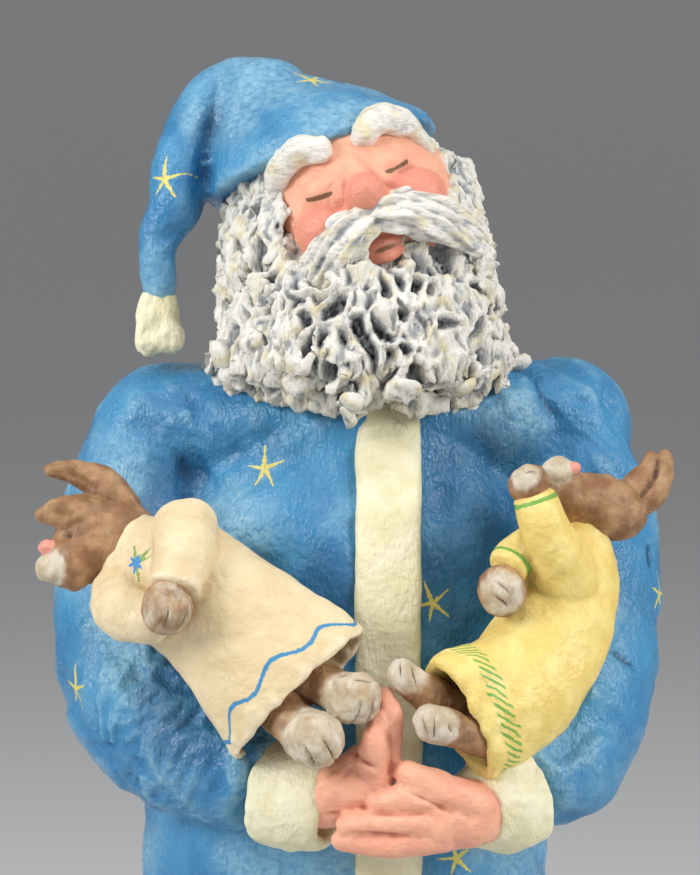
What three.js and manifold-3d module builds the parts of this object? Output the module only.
// A hand modelled and painted clay Santa figurine: a robed, bearded figure in a floppy cap,
// holding two little rabbits in nightshirts on its forearms. The whole group is one piece of clay.
// Millimetres, +Z up. The origin is the middle of the base's underside, and the figure faces -Y.
import * as THREE from 'three';
import { mergeVertices } from 'three/addons/utils/BufferGeometryUtils.js';
import Module from 'manifold-3d';

const wasm = await Module();
wasm.setup();

// Driving sizes
const BASE = { width: 152, depth: 138, height: 7 };
const HEAD = { centre: [3, -12, 332], roll: 21, tiltBack: 18, yaw: 6 };
const BAND = { x: 10.5, halfWidth: 9.6, proud: 1.6 };

// How finely the clay forms are faceted
const TINY = { sides: 6, rows: 5 };
const FINGER = { sides: 6, rows: 5 };
const COARSE = { sides: 8, rows: 6 };
const PLAIN = { sides: 9, rows: 7 };
const FINE = { sides: 11, rows: 8 };

const vector = ([x, y, z]) => new THREE.Vector3(x, y, z);
const radians = THREE.MathUtils.degToRad;

// The closed solid of a geometry, with its doubled vertices and empty faces taken out.
function solid(geometry) {
  const bare = new THREE.BufferGeometry();
  bare.setAttribute('position', geometry.getAttribute('position'));
  bare.setIndex(geometry.index);
  const merged = mergeVertices(bare, 1e-4);
  const corners = merged.index.array;
  const faces = [];
  for (let i = 0; i < corners.length; i += 3) {
    const [a, b, c] = corners.slice(i, i + 3);
    if (a !== b && b !== c && c !== a) faces.push(a, b, c);
  }
  const vertProperties = merged.attributes.position.array;
  const mesh = new wasm.Mesh({ numProp: 3, vertProperties, triVerts: new Uint32Array(faces) });
  return new wasm.Manifold(mesh);
}

// Moves each vertex of a unit sphere, whose poles lie on Z, to where place says.
function shapedSphere({ sides, rows }, place) {
  const sphere = new THREE.SphereGeometry(1, sides, rows).rotateX(Math.PI / 2);
  const spots = sphere.getAttribute('position');
  const spot = new THREE.Vector3();
  for (let i = 0; i < spots.count; i += 1) {
    spot.fromBufferAttribute(spots, i);
    const moved = place(spot);
    spots.setXYZ(i, moved.x, moved.y, moved.z);
  }
  return solid(sphere);
}

// An egg or ball of clay, turned about X, Y and Z in degrees.
function ball(centre, radii, { turn = [0, 0, 0], detail = PLAIN } = {}) {
  const lean = new THREE.Euler(...turn.map(radians));
  return shapedSphere(detail, (spot) => spot.clone().multiply(vector(radii)).applyEuler(lean)
    .add(vector(centre)));
}

// A curved centre line with a size at each of its points: half the width across, and half the depth.
// Its rings stand square to the line, or all to the direction facing.
function course(route, sizes, facing = null) {
  const line = new THREE.CatmullRomCurve3(route.map(vector), false, 'catmullrom');
  const girth = new THREE.CatmullRomCurve3(
    sizes.map((size) => (Array.isArray(size) ? vector([...size, 0]) : vector([size, size, 0]))),
    false,
    'catmullrom',
  );
  const length = line.getLength();
  const at = (share) => {
    const inside = THREE.MathUtils.clamp(share, 0, 1);
    const along = facing ? vector(facing).normalize() : line.getTangent(inside);
    const deep = new THREE.Vector3(0, 1, 0).addScaledVector(along, -along.y).normalize();
    const across = new THREE.Vector3().crossVectors(deep, along);
    const size = girth.getPoint(inside);
    const centre = line.getPoint(inside).addScaledVector(along, (share - inside) * length);
    return { centre, along, deep, across, halfWidth: size.x, halfDepth: size.y };
  };
  return { at, length };
}

// A roll of clay along a course. Its ends are rounded over endLength. boxy squares its section.
function limb(route, sizes, options = {}) {
  const { detail = PLAIN, ends = [null, null], boxy = 1, relief = () => 1, facing = null } = options;
  const path = course(route, sizes, facing);
  const [startCap, endCap] = [0, 1].map((share, i) => {
    const { halfWidth, halfDepth } = path.at(share);
    return ends[i] ?? Math.min(halfWidth, halfDepth);
  });
  const reach = path.length + startCap + endCap;
  return shapedSphere(detail, (spot) => {
    const distance = reach * (1 - spot.z) / 2 - startCap;
    const past = Math.max(-distance / startCap, (distance - path.length) / endCap, 0);
    const shrink = Math.sqrt(Math.max(0, 1 - past * past));
    const place = path.at(distance / path.length);
    const turn = Math.atan2(spot.y, spot.x);
    const rounded = (value) => Math.sign(value) * Math.abs(value) ** boxy;
    const swell = shrink * relief(turn, distance / path.length);
    return place.centre
      .addScaledVector(place.deep, rounded(Math.cos(turn)) * place.halfDepth * swell)
      .addScaledVector(place.across, rounded(Math.sin(turn)) * place.halfWidth * swell);
  });
}

const join = (solids) => solids.reduce((whole, next) => whole.add(next));

// The robe, from the hem to the shoulders
const ROBE_ROUTE = [[0, 0, 4], [-1, 0, 66], [-2, 0, 128], [-1, -1, 190], [1, 0, 236], [2, 1, 266]];
const ROBE_SIZES = [[68, 58], [65, 53], [61, 50], [60, 52], [58, 48], [47, 38]];
const ROBE_DETAIL = { sides: 26, rows: 10 };
const ROBE_FOLDS = { count: 9, depth: 0.022, fadeShare: 0.42 };

function robeRelief(turn, share) {
  const strength = THREE.MathUtils.clamp(1 - share / ROBE_FOLDS.fadeShare, 0, 1);
  return 1 + ROBE_FOLDS.depth * strength * Math.cos(ROBE_FOLDS.count * turn);
}

function robe() {
  return limb(ROBE_ROUTE, ROBE_SIZES, { detail: ROBE_DETAIL, ends: [8, 18], relief: robeRelief });
}

// The roll of clay that runs from shoulder to shoulder behind the beard
function shoulders() {
  return limb(
    [[-56, 3, 265], [-30, 2, 270], [3, 2, 274], [36, 2, 271], [62, 3, 266]],
    [[23.5, 23], [18, 33], [16, 34], [18, 33], [23.5, 23]],
    { detail: { sides: 11, rows: 8 } },
  );
}

// The front of the robe at a share of its height, at the strip's place across it
function robeFront(share) {
  const place = course(ROBE_ROUTE, ROBE_SIZES).at(share);
  const aside = (BAND.x - place.centre.x) / place.halfWidth;
  const depth = place.halfDepth * Math.sqrt(1 - aside * aside);
  return [BAND.x, place.centre.y - depth, place.centre.z];
}

// The pale strip down the robe's front, laid on its surface
function frontBand() {
  const stations = 9;
  const route = Array.from({ length: stations }, (_, i) => robeFront(0.03 + 0.95 * i / (stations - 1)));
  route.push([BAND.x, -29, 276]);
  const sizes = route.map(() => [BAND.halfWidth, 2 * BAND.proud]);
  return limb(route, sizes, { detail: { sides: 6, rows: 9 }, ends: [1, 1], boxy: 0.5 });
}

// The hem's pale trim: a low ring that stands a little proud of the robe
function hemTrim() {
  const [halfWidth, halfDepth] = ROBE_SIZES[0];
  const proud = 2.5;
  const size = [halfWidth + proud, halfDepth + proud];
  return limb([[0, 0, 11], [0, 0, 20]], [size, size], { detail: { sides: 24, rows: 4 }, ends: [3, 3] });
}

function base() {
  const slab = new THREE.CylinderGeometry(0.5, 0.5, BASE.height, 24).rotateX(Math.PI / 2);
  slab.scale(BASE.width, BASE.depth, 1);
  return solid(slab.translate(0, 0, BASE.height / 2));
}

function boots() {
  return [-1, 1].map((side) => limb(
    [[side * 22, -40, 12], [side * 25, -52, 12], [side * 27, -59, 11]],
    [[11, 9], [12, 9], [10.5, 8]],
    { detail: COARSE },
  ));
}

// The cloth of a sleeve is pushed up in shallow rolls towards the wrist.
const SLEEVE_ROLLS = { depth: 0.03, count: 2, slant: 0.12 };

function sleeveRolls(turn, share) {
  const { depth, count, slant } = SLEEVE_ROLLS;
  const wave = Math.cos(2 * Math.PI * count * (share + slant * Math.sin(turn)) + 2 * turn);
  return 1 + depth * Math.min(1, 2 * share) * wave;
}

// Both sleeves: shoulder, upper arm, elbow, forearm, wrist
function sleeves() {
  const options = { detail: { sides: 11, rows: 10 }, relief: sleeveRolls };
  const left = limb(
    [[-56, 3, 263], [-63, -5, 238], [-61, -17, 205], [-50, -38, 182], [-26, -58, 168.5]],
    [23, 24.5, 27, 24.5, 14.5],
    options,
  );
  const right = limb(
    [[61, 3, 264], [66, -5, 238], [64, -17, 205], [57, -37, 180], [48.5, -57, 168]],
    [23, 25, 27, 26, 14.5],
    options,
  );
  return [left, right];
}

function cuffs() {
  const options = { detail: { sides: 10, rows: 5 }, ends: [3, 3] };
  const left = limb(
    [[-23.5, -59, 167], [-14.5, -63, 165.5], [-6.5, -66, 164]],
    [[15.2, 15], [15.4, 15], [13.2, 13]],
    options,
  );
  const right = limb(
    [[47.5, -58, 166], [42, -62.5, 164.5], [36, -67.5, 162.8]],
    [[15.4, 15], [15.2, 15], [11.8, 12.6]],
    options,
  );
  return [left, right];
}

// The cupped hand under the cream rabbit's feet, and the hand laid over it
function hands() {
  const options = { detail: COARSE };
  const palm = limb(
    [[-20, -61, 163], [-11, -69, 164.5], [-2, -74, 169], [5, -76.5, 175.5]],
    [[8, 7.5], [7.4, 7], [9, 7.5], [8, 6.5]],
    options,
  );
  const palmHeel = ball([0.5, -78.5, 170.8], [8.4, 5.4, 6.2], { detail: TINY });
  const upperThumb = limb(
    [[6, -77, 175], [9.2, -79, 184], [10.8, -79, 191], [9.5, -78, 196.8]],
    [7, 5.2, 3.9, 2.4],
    options,
  );
  const thumbLobe = limb(
    [[8.2, -80.5, 190], [6.8, -82, 184], [5.8, -81, 178]],
    [3, 4.6, 5],
    { detail: TINY },
  );
  const back = limb(
    [[46, -60, 163], [39, -68, 163], [33, -74, 162.6], [24, -78, 162]],
    [[9, 8], [9, 8], [9.6, 8.4], [10, 8]],
    options,
  );
  const backHeel = ball([33, -77, 162.6], [7.6, 6.5, 9.4], options);
  const lowerThumb = limb([[35, -78, 165.5], [28, -81, 169.6], [15.6, -82, 175]], [5.6, 5.2, 3.8], options);
  const fingers = [
    { root: [27, -80, 167], middle: [15, -83.5, 168.2], tip: [7, -82, 167], radius: 3.9 },
    { root: [27, -80, 161.5], middle: [12, -84, 161.5], tip: [-1.6, -81, 160.8], radius: 4.1 },
    { root: [26, -79, 156.5], middle: [12, -82.5, 155.4], tip: [-3, -79.5, 156.2], radius: 4 },
  ].map(({ root, middle, tip, radius }) => limb(
    [root, middle, tip],
    [radius * 1.1, radius, radius * 0.8],
    { detail: FINGER },
  ));
  return [palm, palmHeel, upperThumb, thumbLobe, back, backHeel, lowerThumb, ...fingers];
}

// A point given in the head's own frame: to its side, in front of its middle, and above it
const headTurn = new THREE.Euler(-radians(HEAD.tiltBack), -radians(HEAD.roll), radians(HEAD.yaw), 'ZYX');
const onHead = ([side, front, up]) => new THREE.Vector3(side, -front, up).applyEuler(headTurn)
  .add(vector(HEAD.centre)).toArray();
const headLean = new THREE.Euler().setFromQuaternion(new THREE.Quaternion().setFromEuler(headTurn));
const headTurnDegrees = [headLean.x, headLean.y, headLean.z].map(THREE.MathUtils.radToDeg);
const headBall = (spot, radii, detail = COARSE) => ball(
  onHead(spot),
  radii,
  { turn: headTurnDegrees, detail },
);
const headLimb = (route, sizes, detail = COARSE) => limb(route.map(onHead), sizes, { detail });
const bothSides = (make) => [-1, 1].map(make);

// A calm, round cheeked face with closed lids, symmetrical about the head's middle
function face() {
  const skull = headBall([0, 0, 0], [29, 28, 32], FINE);
  const nose = headBall([0, 30, -3], [6.6, 7, 6]);
  const bridge = headLimb([[0, 25, 9], [0, 28, 3], [0, 30, -2]], [3, 3.6, 4.6], TINY);
  const cheeks = bothSides((side) => headBall([side * 14, 21, -7], [9.5, 8.5, 8.5]));
  const lids = bothSides((side) => headBall([side * 10.5, 23.5, 5], [5.6, 4, 3.8], TINY));
  const lip = headLimb([[-5, 22, -19], [0, 24, -20], [5, 22, -19]], [3, 3.6, 3], TINY);
  return [skull, nose, bridge, ...cheeks, ...lids, lip];
}

function brows() {
  return bothSides((side) => headLimb(
    [[side * 7, 25.5, 15.5], [side * 13, 24, 18], [side * 20, 19, 15], [side * 24, 13, 8]],
    [4.2, 4.6, 4, 2.6],
  ));
}

function moustache() {
  return bothSides((side) => headLimb(
    [[side * 1, 29, -10], [side * 9, 28.5, -12], [side * 18, 23, -17], [side * 26, 15, -22]],
    [4.4, 6, 5.6, 3.4],
    PLAIN,
  ));
}

// Hair and beard as one mass: its crown end is under the cap and its broad end lies on the chest.
const BEARD_ROUTE = [[1.5, 6, 346], [0.5, 0, 331], [1.5, -8, 313], [3, -15, 297], [2.5, -19, 283]];
const BEARD_SIZES = [[32, 27], [36, 32], [37.5, 34.5], [41.5, 36.5], [43, 36]];
const CURLS = { around: 11, down: 3.5, depth: 0.055 };
const LOCKS = { rings: [{ share: 0.82, count: 10 }, { share: 1, count: 10 }], fall: 9, radius: 4.6 };

// Staggered swellings all over the mass, as clumps of curls
function curls(turn, share) {
  return 1 + CURLS.depth * Math.cos(CURLS.around * turn) * Math.cos(2 * Math.PI * CURLS.down * share);
}

function beard() {
  const mass = limb(BEARD_ROUTE, BEARD_SIZES, {
    detail: { sides: 29, rows: 11 },
    ends: [6, 10],
    relief: curls,
  });
  return [mass, ...beardLocks()];
}

// Locks that stand out round the lower beard, tips down and outwards
function beardLocks() {
  const path = course(BEARD_ROUTE, BEARD_SIZES);
  return LOCKS.rings.flatMap(({ share, count }, ring) => Array.from({ length: count }, (_, i) => {
    const turn = 2 * Math.PI * (i + 0.5 * ring) / count;
    const place = path.at(share);
    const outwards = place.deep.clone().multiplyScalar(Math.cos(turn))
      .addScaledVector(place.across, Math.sin(turn));
    const root = place.centre.clone()
      .addScaledVector(place.deep, Math.cos(turn) * place.halfDepth)
      .addScaledVector(place.across, Math.sin(turn) * place.halfWidth)
      .addScaledVector(outwards, -LOCKS.radius * 0.7);
    const swing = Math.sin(5 * i + 3 * ring);
    const tip = root.clone().addScaledVector(outwards, LOCKS.radius)
      .addScaledVector(place.along, LOCKS.fall)
      .addScaledVector(place.across, swing * LOCKS.radius);
    const middle = root.clone().lerp(tip, 0.5).addScaledVector(outwards, LOCKS.radius * 0.4);
    return limb(
      [root.toArray(), middle.toArray(), tip.toArray()],
      [LOCKS.radius, LOCKS.radius * 0.95, LOCKS.radius * 0.6],
      { detail: { sides: 5, rows: 4 } },
    );
  }));
}

// The way the cap's crown points, from its edge up: to the figure's right and a little back
const CAP_AXIS = [-0.32, 0.2, 0.92];

// The floppy cap: a crown with a flat open edge, whose point folds over at the figure's right
function cap() {
  const crown = limb(
    [
      [-9.3, 1, 346.5], [-10.7, 2, 350.3], [-14, 3, 354], [-18.7, 5, 359.1], [-24.3, 6.5, 365],
      [-28.8, 7, 369.5],
    ],
    [[36.3, 34], [35.4, 33.5], [32.3, 31], [27.5, 27], [19.6, 20], [14.4, 15]],
    { detail: { sides: 15, rows: 8 }, ends: [2.5, 8.5], facing: CAP_AXIS },
  );
  const point = limb(
    [
      [-27, 7, 367], [-35, 5, 367], [-43.5, 3, 363], [-48.5, 0, 354.6], [-51.7, -4, 345],
      [-52.3, -7, 336], [-56, -9, 328.5], [-57.6, -10, 322], [-57.6, -10, 316], [-57.3, -10, 310],
    ],
    [12, 11.4, 9.6, 8.6, 9, 8.8, 6.8, 5.6, 5.2, 4.6],
    { detail: { sides: 9, rows: 12 } },
  );
  return [crown, point];
}

function tassel() {
  return [limb(
    [[-57.3, -10, 308], [-57.8, -10, 301], [-57.3, -10, 294.5]],
    [[5, 4.7], [6.5, 5.8], [7.7, 6.8]],
    { detail: COARSE, ends: [1.5, 4], boxy: 0.7 },
  )];
}

// A nightshirt is a flaring roll that is hollowed at its hem, for the legs to come out of.
function nightshirt(route, sizes, { hollowShare, wall }) {
  const shirt = limb(route, sizes, { detail: { sides: 13, rows: 8 }, ends: [null, 1.5] });
  const path = course(route, sizes);
  const mouth = path.at(1);
  const inner = path.at(hollowShare);
  const clearOfHem = 8;
  const outside = mouth.centre.clone().addScaledVector(mouth.along, clearOfHem);
  const hollow = limb(
    [inner.centre.toArray(), mouth.centre.toArray(), outside.toArray()],
    [inner, mouth, mouth].map((place) => [place.halfWidth - wall, place.halfDepth - wall]),
    { detail: { sides: 10, rows: 5 }, ends: [3, 3] },
  );
  return shirt.subtract(hollow);
}

// The rabbit in the cream nightshirt lies on its back on the figure's right arm.
function creamRabbit() {
  const tiny = { detail: TINY };
  const coarse = { detail: COARSE };
  const shirt = nightshirt(
    [[-63, -53, 232], [-49.5, -58, 226.5], [-33, -64, 214.5], [-15, -71, 196.5]],
    [[14.5, 11], [19, 13], [21, 13.5], [26.5, 14.5]],
    { hollowShare: 0.75, wall: 3.2 },
  );
  const head = limb(
    [[-68, -49, 238.5], [-75, -52, 237], [-81, -56, 232.5]],
    [[13, 12], [12.5, 11.5], [8, 8]],
  );
  const ears = [
    limb(
      [[-68.5, -46, 247], [-72.5, -45, 254], [-78.5, -46, 257.2], [-87, -49, 258.3]],
      [8, 5.6, 4.2, 2],
      tiny,
    ),
    limb([[-74, -53, 245], [-84, -57, 246.8], [-88.5, -58, 246]], [7, 4.6, 2.4], tiny),
  ];
  const muzzle = [
    ball([-86, -59, 231], [4.5, 4.5, 4.5], tiny),
    ball([-79.2, -58, 228.5], [4.5, 4.5, 4.5], tiny),
    ball([-87.3, -60, 237], [2.6, 2.4, 2], tiny),
  ];
  const arms = [
    limb(
      [[-47.5, -60, 243], [-47.5, -69, 236], [-50, -75.5, 226.5]],
      [[9.2, 8], [9, 8.6], [7.8, 7.8]],
      coarse,
    ),
    limb([[-66, -60, 224], [-65.5, -68, 219.5], [-58, -73, 217.5]], [8.4, 8.2, 7.4], coarse),
    ball([-51.9, -80.5, 221.5], [7.6, 6, 7.8], coarse),
  ];
  const feet = [
    limb([[-27, -65, 210], [-6.2, -76, 198.6], [1, -82, 196.2]], [7, 6.6, 7.6], coarse),
    limb([[-32, -66, 204], [-16.4, -78, 188.6], [-10.2, -86, 185.1]], [7.5, 7, 8.7], coarse),
  ];
  return [shirt, head, ...ears, ...muzzle, ...arms, ...feet];
}

// The rabbit in the yellow nightshirt sits on the figure's left arm with its head thrown back.
function yellowRabbit() {
  const tiny = { detail: TINY };
  const coarse = { detail: COARSE };
  const shirt = nightshirt(
    [[66.5, -47, 241], [65, -49, 229], [58, -56, 213.5], [47.5, -64.5, 197.5], [31.5, -75, 190]],
    [[6.5, 7], [12.5, 11], [16.5, 12.5], [18, 13.5], [19.5, 12]],
    { hollowShare: 0.8, wall: 4.2 },
  );
  const head = limb([[62.5, -49, 251.2], [70.5, -46, 248.2], [77, -44, 246]], [7, 9.4, 8.6]);
  const ears = [
    limb([[80, -42, 247.5], [86.5, -41, 250.5], [90.7, -40, 261.5]], [5, 4.6, 2.2], tiny),
    limb([[79, -42, 249], [83.5, -41, 254], [86.6, -40, 261.8]], [5, 4.4, 1.8], tiny),
  ];
  const muzzle = [
    ball([59.2, -51, 258.3], [5, 5, 4.2], tiny),
    ball([63.4, -52, 259], [2.3, 2.3, 2.3], tiny),
  ];
  const arms = [
    limb([[61, -57, 228], [55.5, -65, 240.5], [51.6, -65.5, 252]], [10.3, 7.8, 6.3], coarse),
    ball([50.2, -65.5, 255.5], [6, 5.6, 5.6], tiny),
    limb([[55, -52, 238], [48.5, -60, 236.5], [44.5, -65.5, 232]], [6.2, 5.8, 5.6], coarse),
    ball([42.6, -69.5, 225.6], [7, 5.8, 7.4], coarse),
  ];
  const feet = [
    limb([[32, -68, 190.5], [25, -72, 194], [14.3, -78, 202.4]], [6, 6, 4.5], coarse),
    limb([[42, -70, 181.5], [36, -77, 184], [22.3, -86, 189.5]], [5, 5, 5.4], coarse),
  ];
  return [shirt, head, ...ears, ...muzzle, ...arms, ...feet];
}

// What would stand below the ground is cut off flat.
function cutLevel(whole) {
  const ground = new THREE.BoxGeometry(400, 400, 100).translate(0, 0, -50);
  return whole.subtract(solid(ground));
}

function figurineGeometry() {
  const whole = cutLevel(join([
    robe(), shoulders(), base(), hemTrim(), frontBand(), ...boots(), ...sleeves(), ...cuffs(), ...hands(),
    ...face(), ...brows(), ...moustache(), ...beard(), ...cap(), ...tassel(),
    ...creamRabbit(), ...yellowRabbit(),
  ]));
  const { numProp, numVert, vertProperties, triVerts } = whole.getMesh();
  const spots = new Float32Array(numVert * 3);
  for (let i = 0; i < numVert; i += 1) {
    spots.set(vertProperties.subarray(i * numProp, i * numProp + 3), i * 3);
  }
  const geometry = new THREE.BufferGeometry();
  geometry.setAttribute('position', new THREE.BufferAttribute(spots, 3));
  geometry.setIndex(new THREE.BufferAttribute(triVerts, 1));
  return geometry;
}

const paintedClay = new THREE.MeshStandardMaterial({ color: '#3d7db3', roughness: 0.55, metalness: 0 });
const figurine = new THREE.Mesh(figurineGeometry(), paintedClay);
figurine.name = 'santa_figurine';

const group = new THREE.Group();
group.add(figurine);

export default group;
